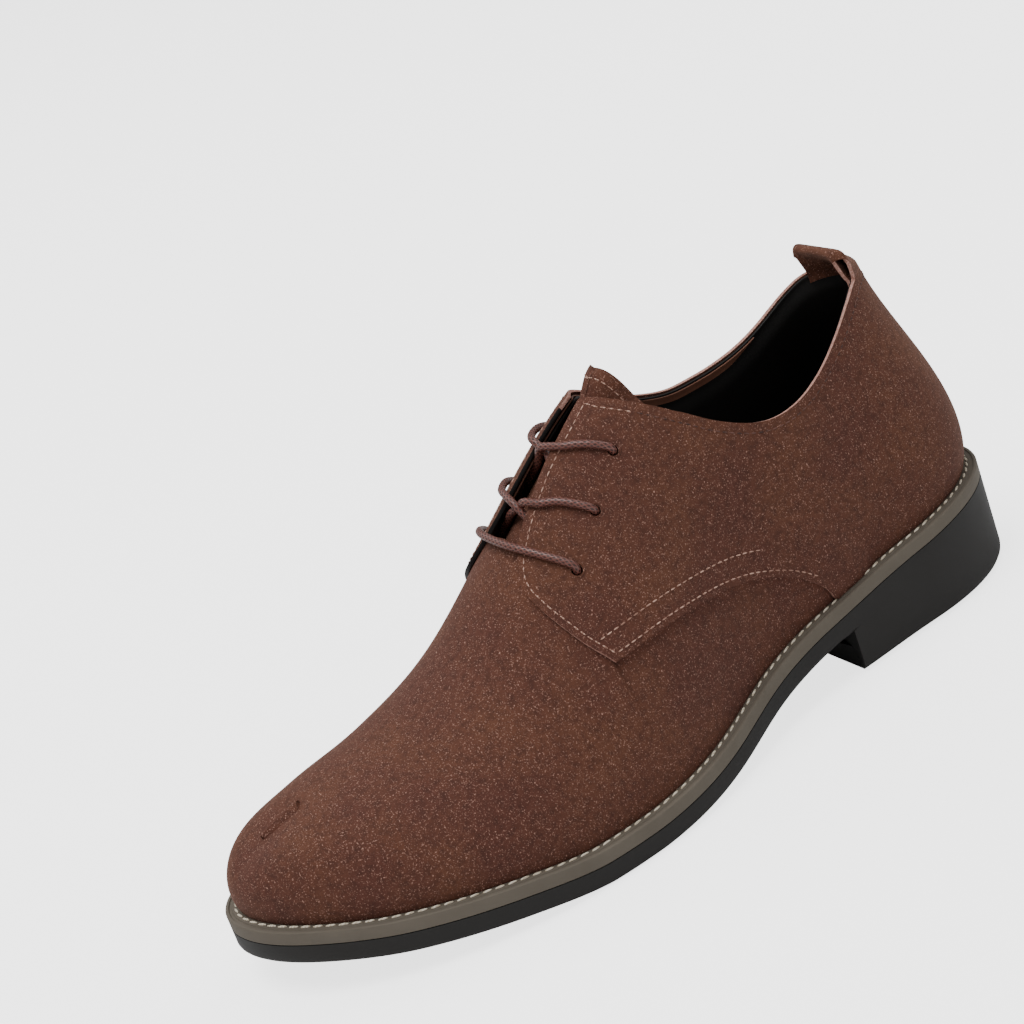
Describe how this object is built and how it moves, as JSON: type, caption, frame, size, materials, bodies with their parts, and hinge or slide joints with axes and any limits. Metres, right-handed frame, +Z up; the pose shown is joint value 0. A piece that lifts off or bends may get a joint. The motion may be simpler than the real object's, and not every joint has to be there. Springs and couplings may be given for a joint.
{
  "type": "leather derby shoe",
  "caption": "Left plain-toe lace-up derby shoe with welted rubber sole, block heel, laced facings over a tongue, and a heel pull tab.",
  "frame": {"origin": "centre of the outline's box on the ground under the shoe", "axes": "+Z up, toe towards -Y, heel towards +Y, outer (lateral) side of this left shoe towards +X"},
  "size_m": [0.1051, 0.3, 0.1274],
  "materials": {
    "upper_leather": "matte nubuck with fine light flecks",
    "sole_rubber": "satin moulded",
    "welt": "satin, taupe",
    "welt_thread": "waxed thread",
    "shank_steel": "plain strip",
    "nail_steel": "plain",
    "cork": "ground cork",
    "board": "pressed cellulose board",
    "black_lining": "smooth lining",
    "facing_leather": "smooth",
    "stiffener": "thermoplastic sheet",
    "eyelet_brass": "dulled",
    "lace_cord": "waxed round braid",
    "aglet_film": "shrunk film"
  },
  "bodies": {
    "shoe": {"outsole": "sole_rubber", "heel_block": "sole_rubber", "heel_top_piece": "sole_rubber", "welt": "welt", "welt_stitching": "welt_thread", "shank": "shank_steel", "sole_filler": "cork", "insole_board": "board", "sock_lining": "black_lining", "heel_nail_1": "nail_steel", "heel_nail_2": "nail_steel", "heel_nail_3": "nail_steel", "heel_nail_4": "nail_steel", "heel_nail_5": "nail_steel", "vamp": "upper_leather", "vamp_lining": "black_lining", "toe_puff": "stiffener", "quarter_lateral": "upper_leather", "facing_lining_lateral": "facing_leather", "quarter_medial": "upper_leather", "facing_lining_medial": "facing_leather", "quarter_lining": "black_lining", "heel_counter": "stiffener", "eyelet_lateral_1": "eyelet_brass", "eyelet_lateral_2": "eyelet_brass", "eyelet_lateral_3": "eyelet_brass", "eyelet_medial_1": "eyelet_brass", "eyelet_medial_2": "eyelet_brass", "eyelet_medial_3": "eyelet_brass", "pull_tab_root": "upper_leather", "lace": "lace_cord", "aglet_1": "aglet_film", "aglet_2": "aglet_film"},
    "tongue": {"tongue": "upper_leather", "tongue_lining": "black_lining"},
    "pull_tab": {"pull_tab": "upper_leather"}
  },
  "joints": [
    {"name": "tongue_flex", "type": "hinge", "parent": "shoe", "child": "tongue", "pos_m": [-0.0031, -0.0325, 0.082], "axis": [-1, 0, 0], "range_deg": [0, 8], "stiffness_Nm_per_rad": 0.4, "springref_deg": -2.86},
    {"name": "pull_tab_flex", "type": "hinge", "parent": "shoe", "child": "pull_tab", "pos_m": [-0.0031, 0.1225, 0.1127], "axis": [1, 0, 0], "range_deg": [-15, 50], "stiffness_Nm_per_rad": 0.02}
  ]
}
